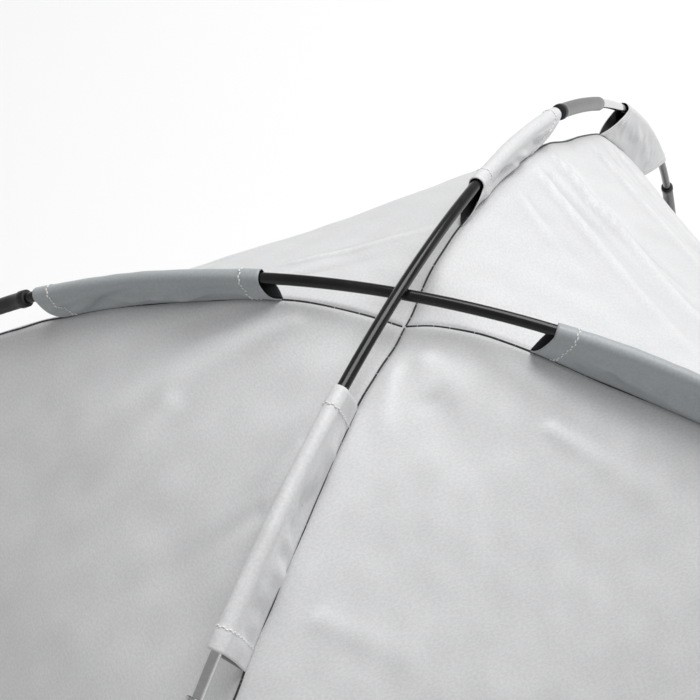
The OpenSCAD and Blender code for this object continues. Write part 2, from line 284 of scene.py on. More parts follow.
# Plain-woven coated polyester: thread crossings, slubs and a cloudy sheen, with painted shade in fold valleys
# and painted highlight on fold ridges.
def coatedCloth(name, tone, tint, rough):
    paint = Paint(name, specular=0.45, sheen=0.12, sheenRough=0.4)
    cloth = paint.cloth()
    weft = paint.wave(paint.split(cloth, 0), 0.0009)
    warp = paint.wave(paint.split(cloth, 1), 0.0009)
    weave = weft * (1 - warp) + warp * (1 - weft)
    cloud = paint.noise(cloth, 9.0, 4.0, 0.6)
    slub = paint.noise(paint.scaled(cloth, (260, 700, 1)), 1.0, 2.0)
    speck = paint.noise(cloth, 430.0, 2.0, 0.7)
    fleck = paint.between(speck * 0.7 + slub * 0.3, 0.4, 0.6)
    share = paint.between(cloud, 0.3, 0.7) * 0.35 + fleck * 0.6 + weave * 0.05
    shade = paint.blendColors(share, grey(tone * 0.85, tint), grey(tone, tint))
    # Painted shade in the folds' valleys and painted highlight on their ridges, read from the fold attribute.
    crease = paint.blendColors(paint.attribute("paintedFoldShade") * 0.5 + 0.5, grey(0.84), grey(1.0))
    paint.set(color=paint.multiplyColors(shade, crease))
    paint.set(rough=paint.between(cloud * 0.6 + speck * 0.4, 0.0, 1.0) * 0.2 + (rough - 0.1))
    paint.bump(weave * 0.5 + speck * 0.8 + slub * 0.5, 0.00025, 0.35)
    return paint.material


# Ribbed narrow weave, for webbing and zip tape.
def ribbedTape(name, tone, tint, pitch, useCloth):
    paint = Paint(name, rough=0.78, sheen=0.3, specular=0.3)
    place = paint.cloth() if useCloth else paint.objectPlace()
    first = paint.split(place, 0)
    second = paint.split(place, 1)
    rib = paint.wave(first + second, pitch) * paint.wave(first - second, pitch * 0.8)
    fluff = paint.noise(place, 900.0, 3.0)
    share = rib * 0.6 + fluff * 0.4
    paint.set(color=paint.blendColors(share, grey(tone * 0.55, tint), grey(tone * 1.5, tint)))
    paint.bump(rib + fluff * 0.4, 0.0003, 0.6)
    return paint.material


# Smooth lacquered rod with faint draw marks. Bare steel shows from one ring to another.
def rodLacquer(name, steelFrom=None, steelTo=None):
    paint = Paint(name, coatRough=0.06, specular=0.28)
    place = paint.objectPlace()
    marks = paint.noise(paint.scaled(place, (90, 90, 900)), 1.0, 3.0, 0.6)
    dust = paint.noise(place, 55.0, 4.0, 0.7)
    shade = paint.blendColors(paint.between(dust, 0.35, 0.75), grey(0.005), grey(0.013, (1, 1, 1.06)))
    rough = paint.between(marks, 0.3, 0.7) * 0.1 + 0.16
    if steelFrom is None:
        paint.set(color=shade, rough=rough, coat=0.18)
    else:
        flat = paint.node("ShaderNodeVectorMath", {"operation": "MULTIPLY"}, {0: place, 1: (1, 1, 0)})
        ring = paint.node("ShaderNodeVectorMath", {"operation": "LENGTH"}, {0: flat}, output="Value")
        pastFirst = paint.between(ring, steelFrom - 0.0006, steelFrom)
        bare = pastFirst * (1 - paint.between(ring, steelTo, steelTo + 0.0006))
        steel = paint.blendColors(marks, grey(0.5), grey(0.72, (1, 1, 1.02)))
        paint.set(color=paint.blendColors(bare, shade, steel), metal=bare, coat=(1 - bare) * 0.18)
        paint.set(rough=rough - bare * 0.1)
    paint.bump(marks, 0.00006, 0.4)
    return paint.material


# Turned or drawn metal: fine rings, smudges and small pits.
def wornMetal(name, tone, tint, rough, metal=1.0):
    paint = Paint(name, metal=metal, specular=0.5)
    place = paint.objectPlace()
    fine = paint.noise(paint.scaled(place, (700, 700, 175)), 1.0, 3.0, 0.65)
    smudge = paint.noise(place, 60.0, 4.0, 0.6)
    pits = paint.between(paint.noise(place, 900.0, 1.0), 0.68, 0.78)
    share = paint.between(smudge * 0.7 + fine * 0.3, 0.3, 0.7)
    bright = paint.blendColors(share, grey(tone * 0.8, tint), grey(tone * 1.1, tint))
    paint.set(color=paint.blendColors(pits * 0.5, bright, grey(tone * 0.45, tint)))
    paint.set(rough=share * 0.12 + (rough - 0.05) + pits * 0.15)
    paint.bump(fine - pits * 0.8, 0.00005, 0.5)
    return paint.material


# Moulded plastic with a fine spark-eroded grain.
def mouldedPlastic(name, tone, tint, rough):
    paint = Paint(name, specular=0.5)
    place = paint.objectPlace()
    grain = paint.noise(place, 2200.0, 2.0, 0.6)
    smudge = paint.noise(place, 70.0, 3.0)
    paint.set(color=paint.blendColors(smudge, grey(tone * 0.7, tint), grey(tone * 1.3, tint)))
    paint.set(rough=smudge * 0.15 + rough)
    paint.bump(grain, 0.00006, 0.5)
    return paint.material


# Sewing thread: twisted plies, and along a seam the light needle holes between stitches.
def sewingThread(name, tone, tint, gapTone=None):
    paint = Paint(name, rough=0.7, sheen=0.3)
    if gapTone is None:
        place = paint.objectPlace()
        twist = paint.noise(place, 2500.0, 2.0)
        paint.set(color=paint.blendColors(twist, grey(tone * 0.8, tint), grey(tone, tint)))
        paint.bump(twist, 0.00008, 0.6)
        return paint.material
    cloth = paint.cloth()
    along = paint.split(cloth, 0)
    scatter = paint.between(paint.noise(paint.scaled(cloth, (160, 0.01, 1)), 1.0, 2.0), 0.52, 0.62)
    hole = paint.between(paint.wave(along, 0.0031), 0.86, 0.97) * scatter
    twist = paint.wave(along + paint.split(cloth, 1) * 0.2, 0.0009)
    dark = paint.blendColors(twist, grey(tone * 0.6, tint), grey(tone * 1.4, tint))
    paint.set(color=paint.blendColors(hole, dark, grey(gapTone)))
    paint.bump(twist - hole, 0.0002, 0.6)
    return paint.material


# Knitted net: round holes in rows.
def knittedNet(name, tone, pitch):
    paint = Paint(name, rough=0.75, specular=0.3)
    cloth = paint.cloth()
    first = paint.wave(paint.split(cloth, 0), pitch)
    second = paint.wave(paint.split(cloth, 1), pitch)
    solid = 1 - paint.between(first * second, 0.3, 0.42)
    fuzz = paint.noise(cloth, 1500.0, 2.0)
    paint.set(color=paint.blendColors(fuzz, grey(tone * 0.7), grey(tone * 1.3)), alpha=solid)
    paint.bump(solid + fuzz * 0.3, 0.0002, 0.5)
    return paint.material


# Woven film with crossing flat tapes, for the groundsheet.
def tapeWovenFilm(name, tone, tint):
    paint = Paint(name, rough=0.5, specular=0.5)
    cloth = paint.cloth()
    first = paint.wave(paint.split(cloth, 0), 0.004)
    second = paint.wave(paint.split(cloth, 1), 0.004)
    lattice = first * (1 - second) + second * (1 - first)
    dirt = paint.noise(cloth, 14.0, 5.0, 0.65)
    share = paint.between(lattice * 0.4 + dirt * 0.6, 0.2, 0.8)
    paint.set(color=paint.blendColors(share, grey(tone * 0.75, tint), grey(tone * 1.15, tint)))
    paint.set(rough=dirt * 0.25 + 0.4)
    paint.bump(lattice + dirt * 0.4, 0.0003, 0.5)
    return paint.material


steelRing = [float(placeAt(np.array(s), path["overLift"])[0]) for s in (0.270, 0.535)]
silver = (0.985, 0.99, 1.0)
finish = {
    "canopy": coatedCloth("silverCoat", 0.79, silver, 0.5),
    "canopyBack": coatedCloth("canopyBack", 0.36, silver, 0.65),
    "overSleeve": coatedCloth("sleeveCoat", 0.82, silver, 0.45),
    # A darker copy of the sleeve cloth for the under pole's sleeves: painted shade.
    "underSleevePaintedShade": coatedCloth("paintedShadeSleeveCoat", 0.46, (0.94, 1.0, 1.03), 0.42),
    # Near-black inner face for the sleeves and the ferrules' bores: painted shade.
    "paintedShadeInside": coatedCloth("paintedShadeLining", 0.03, (0.92, 1, 1.08), 0.7),
    "flap": coatedCloth("flapCoat", 0.82, silver, 0.5),
    "overRod": rodLacquer("overPoleLacquer", *steelRing),
    "underRod": rodLacquer("underPoleLacquer"),
    "steel": wornMetal("ferruleSteel", 0.62, (1, 1, 1.02), 0.24),
    "dullSteel": wornMetal("dullFerruleSteel", 0.3, (1, 1, 1.02), 0.46),
    "blackMetal": wornMetal("blackFerrule", 0.02, (1, 1, 1.05), 0.32, metal=0.4),
    "nickel": wornMetal("eyeletNickel", 0.66, (1, 0.98, 0.94), 0.28),
    "gunmetal": wornMetal("zipGunmetal", 0.2, (1, 1, 1.04), 0.3),
    "plastic": mouldedPlastic("tipPlastic", 0.02, (1, 1, 1), 0.42),
    "webbing": ribbedTape("tabWebbing", 0.022, (1, 1, 1.05), 0.0024, False),
    "zipTape": ribbedTape("zipTape", 0.035, (1, 1, 1.05), 0.0016, True),
    "zipCoil": mouldedPlastic("zipCoil", 0.03, (1, 1, 1.05), 0.35),
    "seam": sewingThread("seamThread", 0.022, (0.9, 1.0, 1.05), 0.5),
    "stitch": sewingThread("stitchThread", 0.9, (1, 1, 1)),
    "cord": ribbedTape("shockCordSheath", 0.6, (1, 1, 1), 0.0012, False),
    "net": knittedNet("windowNet", 0.02, 0.0016),
    "ground": tapeWovenFilm("groundFilm", 0.3, (0.97, 1.0, 1.04)),
}
print("materials ready")


def addToScene(name, data):
    made = bpy.data.objects.new(name, data)
    bpy.context.scene.collection.objects.link(made)
    return made


def deselectAll():
    bpy.ops.object.select_all(action="DESELECT")


def pickOnly(piece):
    deselectAll()
    piece.select_set(True)
    bpy.context.view_layer.objects.active = piece


def startEdit(action="SELECT"):
    bpy.ops.object.mode_set(mode="EDIT")
    bpy.ops.mesh.select_all(action=action)


def endEdit():
    bpy.ops.object.mode_set(mode="OBJECT")


def faceOutwards(mergeFirst=False):
    bpy.ops.mesh.select_all(action="SELECT")
    if mergeFirst:
        bpy.ops.mesh.remove_doubles(threshold=1e-6)
    bpy.ops.mesh.normals_make_consistent(inside=False)


def applyModifiers(piece):
    pickOnly(piece)
    for modifier in list(piece.modifiers):
        bpy.ops.object.modifier_apply(modifier=modifier.name)


def setFinish(piece, *keys):
    piece.data.materials.clear()
    for key in keys:
        piece.data.materials.append(finish[key])


def rideOn(piece, body, slot, *replaced):
    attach(piece, body)
    if replaced:
        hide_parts(*replaced)
    return piece


# A mesh over rows and columns of points, with a map in metres. Rows then columns face outwards.
def clothMesh(name, points, across, along):
    rows, columns = points.shape[:2]
    index = np.arange(rows * columns).reshape(rows, columns)
    quads = np.stack([index[:-1, :-1], index[1:, :-1], index[1:, 1:], index[:-1, 1:]], -1).reshape(-1, 4)
    mesh = bpy.data.meshes.new(name)
    mesh.from_pydata(points.reshape(-1, 3).tolist(), [], quads.tolist())
    loops = np.zeros(len(mesh.loops), np.int32)
    mesh.loops.foreach_get("vertex_index", loops)
    flat = np.stack([np.broadcast_to(across, (rows, columns)), np.broadcast_to(along, (rows, columns))], -1)
    flat = flat.reshape(-1, 2)[loops].astype(np.float32)
    mesh.uv_layers.new(name="clothMap").data.foreach_set("uv", flat.ravel())
    piece = addToScene(name, mesh)
    mesh.shade_smooth()
    return piece


def thicken(piece, thickness, backSlot=0):
    solid = piece.modifiers.new("clothThickness", "SOLIDIFY")
    solid.thickness = thickness
    solid.offset = -1
    solid.material_offset = backSlot
    applyModifiers(piece)


def mergeDoubles(piece, distance=1e-6):
    pickOnly(piece)
    startEdit()
    bpy.ops.mesh.remove_doubles(threshold=distance)
    endEdit()


def gridArea(points):
    first = np.cross(points[1:, :-1] - points[:-1, :-1], points[1:, 1:] - points[:-1, :-1])
    second = np.cross(points[1:, 1:] - points[:-1, :-1], points[:-1, 1:] - points[:-1, :-1])
    return float((np.linalg.norm(first, axis=-1) + np.linalg.norm(second, axis=-1)).sum() / 2)


canopy = {
    "thickness": 0.0011,
    "rows": 240,
    "columns": 136,
    "softWave": 0.0006,
    "fineWave": 0.0002,
    "hollow": 0.004,
    "seamPuff": 0.0016,
    "foldGain": {"right": 1.9, "back": 1.6, "left": 2.0, "front": 1.6},
    "randomFolds": 16,
    "paintedShadeStep": 0.008,
    "paintedShadeFull": 0.0022,
}
# Folds that the sewing pulls into the cloth: (station, across) to (station, across), then
# half width and height, all in millimetres.
wallFolds = {
    "right": [
        (285, 182, 375, -60, 9, 2.6), (302, 172, 408, -30, 11, -1.8), (248, 132, 300, -70, 9, 1.8),
        (266, 126, 336, -40, 11, -1.2), (490, 285, 560, 40, 10, 2.4), (468, 250, 518, 60, 12, -1.6),
        (305, 104, 390, 0, 9, 1.4), (420, 240, 470, 20, 8, 1.8), (200, 96, 215, 10, 8, 0.8),
    ],
    "back": [(182, 45, 122, -68, 5, 1.2), (150, 60, 90, -50, 12, -1.0), (330, 120, 300, -60, 9, 1.2)],
    "left": [
        (115, -70, 350, -118, 18, -3.0), (95, -40, 330, -70, 14, 1.6), (150, 60, 420, 150, 16, 1.2),
        (240, -40, 520, 30, 22, 1.4), (210, 80, 400, 60, 12, -0.8),
    ],
    "front": [
        (60, -30, 190, -70, 14, 1.6), (70, 40, 230, 110, 14, 1.4), (110, -10, 260, 20, 22, -1.6),
        (180, 60, 330, 130, 12, 1.1), (270, -140, 420, -40, 16, 1.0), (60, 0, 120, 5, 16, 1.2),
    ],
}
fineStations = np.linspace(0, footStation, 800)
halfWidths = {}
for wall in walls:
    first, last = wallCorners[wall]
    gap = ridgePoint(last, fineStations) - ridgePoint(first, fineStations)
    halfWidths[wall] = np.linalg.norm(gap, axis=-1) / 2


# More such folds down the wall, fanning from its seams towards the middle.
def lowerFolds(wall):
    draw = np.random.default_rng(40 + walls.index(wall))
    folds = []
    for number in range(canopy["randomFolds"]):
        station = draw.uniform(420, 1450)
        half = 1000 * float(np.interp(station / 1000, fineStations, halfWidths[wall]))
        side = 1 if number % 2 else -1
        reach = draw.uniform(0.12, 0.4) * half
        drop = draw.uniform(-60, 160)
        folds.append((station, side * half * 0.99, station + drop, side * (half - reach),
                      draw.uniform(5, 14), draw.uniform(-1.6, 2.2)))
    return folds


allFolds = {wall: wallFolds[wall] + lowerFolds(wall) for wall in walls}


def foldHeight(wall, across, station):
    half = np.interp(station, fineStations, halfWidths[wall])
    edge = np.maximum(half - np.abs(across), 0) * 0.75
    foot = np.clip((footStation - station) / 0.06, 0, 1)
    foot = foot * foot * (3 - 2 * foot)
    seed = walls.index(wall)
    body = canopy["softWave"] * ripple(across, station, 0.19, seed)
    body = body + canopy["fineWave"] * ripple(across, station * 0.6, 0.035, 10 + seed)
    body = body - canopy["hollow"] * np.clip(edge / 0.2, 0, 1)
    for fromStation, fromAcross, toStation, toAcross, width, height in allFolds[wall]:
        start = np.array([fromStation, fromAcross]) / 1000
        run = np.array([toStation, toAcross]) / 1000 - start
        share = ((station - start[0]) * run[0] + (across - start[1]) * run[1]) / (run @ run)
        inside = np.clip(share, 0, 1)
        away = np.hypot(station - start[0] - inside * run[0], across - start[1] - inside * run[1])
        swell = width / 1000 * (0.6 + 0.9 * inside)
        fade = np.clip(1.15 - inside, 0, 1) ** 0.8
        body = body + canopy["foldGain"][wall] * height / 1000 * fade * np.exp(-((away / swell) ** 2))
    puff = canopy["seamPuff"] * (1 - np.exp(-((edge / 0.0028) ** 2))) * np.exp(-edge / 0.02)
    return foot * (puff + body * (1 - np.exp(-((edge / 0.013) ** 2))))


# Painted shade and highlight: valleys are darker and ridges lighter, by how sharply the cloth turns there.
def addPaintedFoldShade(piece, wall, across, station):
    step = canopy["paintedShadeStep"]
    middle = foldHeight(wall, across, station)
    turn = 4 * middle
    for moveAcross, moveAlong in ((step, 0), (-step, 0), (0, step), (0, -step)):
        turn = turn - foldHeight(wall, across + moveAcross, station + moveAlong)
    near = np.interp(station, fineStations, halfWidths[wall]) - np.abs(across)
    # The painted fold shade fades out near the wall's seams.
    tone = np.clip(turn / canopy["paintedShadeFull"], -1, 1) * np.clip((near - 0.012) / 0.02, 0, 1)
    layer = piece.data.attributes.new("paintedFoldShade", "FLOAT", "POINT")
    layer.data.foreach_set("value", tone.astype(np.float32).ravel())


def makeWall(wall):
    first, last = wallCorners[wall]
    stations = footStation * np.linspace(0, 1, canopy["rows"]) ** 1.5
    even = np.linspace(0, 1, canopy["columns"])
    share = (0.5 * even + 0.25 * (1 - np.cos(math.pi * even)))[None, :, None]
    fromSide = ridgePoint(first, stations)[:, None]
    toSide = ridgePoint(last, stations)[:, None]
    flat = fromSide * (1 - share) + toSide * share
    level = unit(toSide - fromSide)
    level[0] = level[1]
    down = np.gradient(flat, stations, axis=0)
    outward = unit(np.cross(down, np.broadcast_to(level, flat.shape)))
    outward[0] = (0, 0, 1)
    across = (share[..., 0] - 0.5) * np.linalg.norm(toSide - fromSide, axis=-1)
    lift = foldHeight(wall, across, stations[:, None])
    piece = clothMesh(wall + "_canopy_cloth", flat + outward * lift[..., None], across, stations[:, None])
    addPaintedFoldShade(piece, wall, across, np.broadcast_to(stations[:, None], across.shape))
    mergeDoubles(piece)
    setFinish(piece, "canopy", "canopyBack")
    thicken(piece, canopy["thickness"], 1)
    width = float(np.linalg.norm(toSide[-1] - fromSide[-1]))
    middle = flat[:, canopy["columns"] // 2]
    return piece, width, float(runAlong(middle)[-1]), gridArea(flat)


doorway = {
    "front": {"flap": "door", "sill": 0.062, "radius": 0.450},
    "back": {"flap": "window", "sill": 0.300, "radius": 0.190},
}
wallSteep = math.atan2(math.sin(legTilt), math.cos(legTilt) * math.sin(math.radians(path["poleAngle"])))
stationPerHeight = math.sin(wallSteep) / math.sin(legTilt)


# A place on the flat part of the front or back wall: across, up from the foot, and out of it.
def flatFrame(wall):
    side = -1 if wall == "front" else 1
    foot = ridgePoint(wallCorners[wall][0], footStation)
    origin = np.array([0, foot[1], foot[2]])
    right = np.array([-side, 0, 0], float)
    up = np.array([0, -side * math.cos(wallSteep), math.sin(wallSteep)])
    out = np.array([0, side * math.sin(wallSteep), math.cos(wallSteep)])
    return origin, right, up, out


def onWall(wall, across, height, rise=0.0):
    origin, right, up, out = flatFrame(wall)
    across, height = np.broadcast_arrays(np.asarray(across, float), np.asarray(height, float))
    lift = foldHeight(wall, across, footStation - height * stationPerHeight) + rise
    return origin + across[..., None] * right + height[..., None] * up + lift[..., None] * out


def cutDoorway(piece, wall):
    spec = doorway[wall]
    origin, right, up, out = flatFrame(wall)
    turn = Matrix((right, up, out)).transposed().to_4x4()
    center = origin + spec["sill"] * up
    deselectAll()
    bpy.ops.mesh.primitive_cylinder_add(vertices=192, radius=spec["radius"], depth=0.06)
    cutter = bpy.context.object
    startEdit()
    bpy.ops.mesh.bisect(plane_co=(0, 0, 0), plane_no=(0, 1, 0), use_fill=True, clear_inner=True)
    endEdit()
    cutter.matrix_world = Matrix.Translation(center) @ turn
    pickOnly(cutter)
    bpy.ops.object.transform_apply(location=True, rotation=True, scale=True)
    cut = piece.modifiers.new("doorwayCut", "BOOLEAN")
    cut.object = cutter
    cut.solver = "EXACT"
    applyModifiers(piece)
    bpy.data.objects.remove(cutter)
    return math.pi * spec["radius"] ** 2 / 2


for wall in walls:
    piece, width, length, area = makeWall(wall)
    if wall in doorway:
        area -= cutDoorway(piece, wall)
    rideOn(piece, "tent", "canopy", wall + "_canopy_panel")
    print("canopy", wall, round(width, 3), round(length, 3), round(area, 3), len(piece.data.polygons))


# One short stitch, pinched at its ends. A row spaces them evenly along a line of places.
stitchShape = {"sides": 6, "rings": [(-0.5, 0.35), (-0.3, 0.9), (0.3, 0.9), (0.5, 0.35)]}


def stitchRow(places, outward, pitch, length, width, sideways=False, sway=0.0):
    run = runAlong(places)
    count = max(2, int(run[-1] / pitch))
    marks = (np.arange(count) + 0.5) * run[-1] / count
    middle = np.stack([np.interp(marks, run, places[:, k]) for k in range(3)], -1)
    normal = unit(np.stack([np.interp(marks, run, outward[:, k]) for k in range(3)], -1))
    ahead = np.stack([np.interp(marks + 0.0005, run, places[:, k]) for k in range(3)], -1) - middle
    ahead = unit(ahead - (ahead * normal).sum(-1, keepdims=True) * normal)
    side = np.cross(normal, ahead)
    if sideways:
        ahead, side = side, ahead
    middle = middle + side * (sway * (-1.0) ** np.arange(count))[:, None]
    sides = stitchShape["sides"]
    angles = 2 * math.pi * np.arange(sides) / sides
    points, faces = [], []
    for place, n, a, b in zip(middle, normal, ahead, side):
        base = len(points)
        for along, swell in stitchShape["rings"]:
            for angle in angles:
                offset = width / 2 * swell * (math.cos(angle) * n * 0.8 + math.sin(angle) * b)
                points.append(place + a * along * length + offset)
        rings = len(stitchShape["rings"])
        faces.append([base + k for k in range(sides)][::-1])
        faces.append([base + (rings - 1) * sides + k for k in range(sides)])
        for ring in range(rings - 1):
            for k in range(sides):
                low, high = base + ring * sides, base + (ring + 1) * sides
                faces.append([low + k, low + (k + 1) % sides, high + (k + 1) % sides, high + k])
    return points, faces


def stitchPiece(name, rows, key="stitch"):
    points, faces = [], []
    for rowPoints, rowFaces in rows:
        shift = len(points)
        points += [list(p) for p in rowPoints]
        faces += [[shift + v for v in face] for face in rowFaces]
    mesh = bpy.data.meshes.new(name)
    mesh.from_pydata(points, [], faces)
    piece = addToScene(name, mesh)
    mesh.shade_smooth()
    setFinish(piece, key)
    pickOnly(piece)
    startEdit()
    faceOutwards()
    endEdit()
    return piece


sleeve = {
    "slack": 0.0014,
    "wall": 0.0007,
    "shear": 0.010,
    "hem": 0.015,
    "hemRise": 0.00045,
    "fullness": 0.0016,
    "mouthFlare": 0.0022,
    "flareReach": 0.022,
    "crease": 0.0014,
    "rows": 84,
    "columns": 52,
    "edgeGap": 0.0003,
    "arcFrom": 0.38,
    "arcTo": 0.62,
    "stitchPitch": 0.0026,
    "stitchLength": 0.0024,
    "stitchWidth": 0.00125,
    "stitchSway": 0.0004,
}
sleeveSpans = {
    "roof": {0: (0.0965, 0.285), 1: (0.109, 0.300), 2: (0.128, 0.304), 3: (0.106, 0.304)},
    "shoulder": dict.fromkeys(range(4), (0.552, 0.820)),
    "leg": dict.fromkeys(range(4), (1.200, 1.460)),
}
# How far each end's seam side is sewn on towards the roof, where a sleeve was cut askew.
sleeveShear = {
    ("roof", 0): (0.0095, -0.005), ("roof", 1): (0.013, 0.010), ("roof", 2): (0.025, 0.046),
    ("roof", 3): (0.012, 0.009), ("shoulder", 2): (0.066, 0.066),
}
sleeveFlare = {("roof", 0): 0.2, ("roof", 2): 0.3, ("shoulder", 2): 0.15}
sleeveCreases = {"roof": 1.5, "shoulder": 1.2, "leg": 1.0}


# Points and outward directions on a sleeve. Turn runs once round it, from one edge in the
# ridge seam, over the pole and back to the other edge.
def sleevePoints(corner, kind, station, turn):
    first, last = sleeveSpans[kind][corner]
    onFirst = turn < sleeve["arcFrom"]
    onArc = (turn >= sleeve["arcFrom"]) & (turn <= sleeve["arcTo"])
    rise = np.where(onFirst, turn / sleeve["arcFrom"], (1 - turn) / (1 - sleeve["arcTo"]))
    rise = np.clip(np.where(onArc, 1, rise), 0, 1)
    shear = sleeveShear.get((kind, corner), (sleeve["shear"], sleeve["shear"]))
    askew = shear[0] + (shear[1] - shear[0]) * (station - first) / (last - first)
    at = station - askew * (1 - rise)
    radius = path["poleWidth"] / 2 + sleeve["slack"]
    hub = poleLift(corner)
    seamOut = 0.0002 - hangLine[corner](at)
    seamAcross = leanLine[corner](at)
    length = np.hypot(seamOut - hub, seamAcross)
    aim = np.arctan2(seamAcross, seamOut - hub)
    spread = np.arccos(radius / length)
    side = np.where(turn < 0.5, 1.0, -1.0)
    arcShare = (turn - sleeve["arcFrom"]) / (sleeve["arcTo"] - sleeve["arcFrom"])
    arcAngle = aim + spread + arcShare * (2 * math.pi - 2 * spread)
    tangent = aim + side * spread
    touchOut = hub + radius * np.cos(tangent)
    touchAcross = radius * np.sin(tangent)
    foldSeed = 60 + corner * 3 + list(sleeveSpans).index(kind)
    near = np.minimum(station - first, last - station)
    flare = sleeve["mouthFlare"] * sleeveFlare.get((kind, corner), 1.0)
    flare = flare * np.exp(-((near / sleeve["flareReach"]) ** 2))
    crease = sleeve["crease"] * sleeveCreases[kind]
    bow = np.sin(math.pi * rise)
    wave = ripple(at * 0.5 + rise * 0.02, rise * 0.034 + side * 0.4, 0.034, foldSeed)
    wave = wave + 0.45 * ripple(at * 0.8 + rise * 0.02, rise * 0.03 + side * 0.3, 0.017, foldSeed + 30)
    belly = (sleeve["fullness"] + flare) * bow**0.9 + crease * wave * bow**1.6 * (1 - np.exp(-near / 0.02))
    edgeOut = -sleeve["edgeGap"] * side
    flankOut = seamOut + (touchOut - seamOut) * rise
    flankAcross = seamAcross + edgeOut + (touchAcross - seamAcross - edgeOut) * rise
    out = np.where(onArc, hub + radius * np.cos(arcAngle), flankOut)
    across = np.where(onArc, radius * np.sin(arcAngle), flankAcross)
    normalOut = np.where(onArc, np.cos(arcAngle), np.cos(tangent))
    normalAcross = np.where(onArc, np.sin(arcAngle), np.sin(tangent))
    push = np.where(onArc, 0.075 * crease * wave, belly)
    hem = np.clip((sleeve["hem"] + 0.001 - near) / 0.0015, 0, 1) * sleeve["hemRise"]
    push = push + hem + 0.0002
    place = spot(corner, at, out + push * normalOut, across + push * normalAcross)
    lean = leanAt(at)
    c, s = math.cos(cornerAngle(corner)), math.sin(cornerAngle(corner))
    outward = np.stack([normalOut * np.sin(lean) * c - normalAcross * s,
                        normalOut * np.sin(lean) * s + normalAcross * c,
                        normalOut * np.cos(lean)], -1)
    return place, outward


def makeSleeve(corner, kind):
    first, last = sleeveSpans[kind][corner]
    hem = sleeve["hem"]
    body = np.linspace(first + hem, last - hem, sleeve["rows"] - 16)
    ends = np.linspace(0, 1, 9)[:-1]
    stations = np.concatenate([first + hem * ends, body, (last - hem * ends)[::-1]])[:, None]
    turns = np.linspace(0, 1, sleeve["columns"])[None]
    stations, turns = np.broadcast_arrays(stations, turns)
    points, _ = sleevePoints(corner, kind, stations, turns)
    girth = runAlong(points[20])
    piece = clothMesh(f"{corners[corner]}_{kind}_sleeve_cloth", points, girth[None], stations)
    # The front-left sleeve shows the cloth's grey back inside; the other sleeves get a near-black inside,
    # painted shade.
    backOrPaintedShade = "canopyBack" if corner == 0 else "paintedShadeInside"
    # The under pole's sleeves take the darker copy of the sleeve cloth, painted shade.
    setFinish(piece, "overSleeve" if isOver(corner) else "underSleevePaintedShade", backOrPaintedShade)
    thicken(piece, sleeve["wall"], 1)
    rideOn(piece, "tent", "sleeve", f"{corners[corner]}_{kind}_sleeve")
    size = (float(girth[-1]), last - first)
    area = min(gridArea(points), size[0] * size[1])
    rows = []
    for place in (first + hem, last - hem):
        turn = np.linspace(0.03, 0.97, 60)
        places, outward = sleevePoints(corner, kind, np.full(60, place), turn)
        rows.append(stitchRow(places + outward * 0.0002, outward, sleeve["stitchPitch"],
                              sleeve["stitchLength"], sleeve["stitchWidth"], sway=sleeve["stitchSway"]))
    return rows


for corner in range(4):
    rows = []
    for kind in sleeveSpans:
        rows += makeSleeve(corner, kind)
    rideOn(stitchPiece(corners[corner] + "_hem_stitches", rows), "tent", "seam")
print("sleeves ready")

ridge = {
    "beadRadius": 0.00078, "beadRise": 0.0001, "finDepth": 0.007, "finWidth": 0.0011, "rows": 420,
    "wander": 0.0004,
}


# The rolled seam: a dark bead in the groove outside and a fin of turned-in cloth inside.
def makeRidgeSeam(corner):
    stations = (footStation - 0.002) * np.linspace(0, 1, ridge["rows"]) ** 1.3
    stations = np.maximum(stations, 0.0008 if isOver(corner) else 0.0016)
    radius, fin = ridge["beadRadius"], ridge["finWidth"] / 2
    angles = np.radians(np.linspace(-130, 130, 11))
    section = [(radius * math.cos(a), radius * math.sin(a)) for a in angles]
    section += [(-ridge["finDepth"] * 0.4, fin), (-ridge["finDepth"], fin), (-ridge["finDepth"], -fin),
                (-ridge["finDepth"] * 0.4, -fin)]
    section.append(section[0])
    drift = ridge["wander"] * ripple(stations, stations * 0, 0.05, 90 + corner)
    drift = drift * np.clip(stations / 0.05, 0, 1)
    foot = np.clip((footStation - stations) / 0.02, 0.15, 1)
    columns = []
    for out, across in section:
        depth = ridge["beadRise"] + out * (foot if out < -0.002 else 1)
        columns.append(spot(corner, stations, depth - hangLine[corner](stations),
                            leanLine[corner](stations) + drift + across))
    points = np.stack(columns, 1)[:, ::-1]
    around = np.linspace(0, 1, points.shape[1])[None] * 0.02
    piece = clothMesh(corners[corner] + "_ridge_seam_bead", points, stations[:, None], around)
    mergeDoubles(piece, 1e-7)
    pickOnly(piece)
    startEdit("DESELECT")
    bpy.ops.mesh.select_non_manifold()
    bpy.ops.mesh.edge_face_add()
    faceOutwards()
    endEdit()
    setFinish(piece, "seam")
    rideOn(piece, "tent", "seam", corners[corner] + "_ridge_seam")


for corner in range(4):
    makeRidgeSeam(corner)
print("ridge seams ready")

rods = {"sides": 40, "stepLength": 0.012, "buttGap": 0.0005}
ferrule = {
    "length": 0.130, "wall": 0.00205, "socketDepth": 0.034, "rimWidth": 0.006, "rimHeight": 0.0007,
    "mouthGap": 0.0007, "recess": 0.010, "bevel": 0.00025, "rimBand": 0.0075,
}


# Turns the selected faces on along one bend of a pole, or pushes them down its straight leg.
def carryAlong(corner, start, end, lift):
    middle = (start + end) / 2
    if abs(middle) > legStart:
        move = Vector(spot(corner, end, lift) - spot(corner, start, lift))
        bpy.ops.mesh.extrude_region_move(TRANSFORM_OT_translate={"value": move})
        return
    inRoof = abs(middle) < path["roofArc"]
    radius = path["roofRadius"] if inRoof else path["shoulderRadius"]
    hub = spot(corner, middle, -radius)
    steps = max(2, round((end - start) / rods["stepLength"]))
    bpy.ops.mesh.spin(steps=steps, angle=(end - start) / radius, center=hub, axis=-acrossOf(corner))


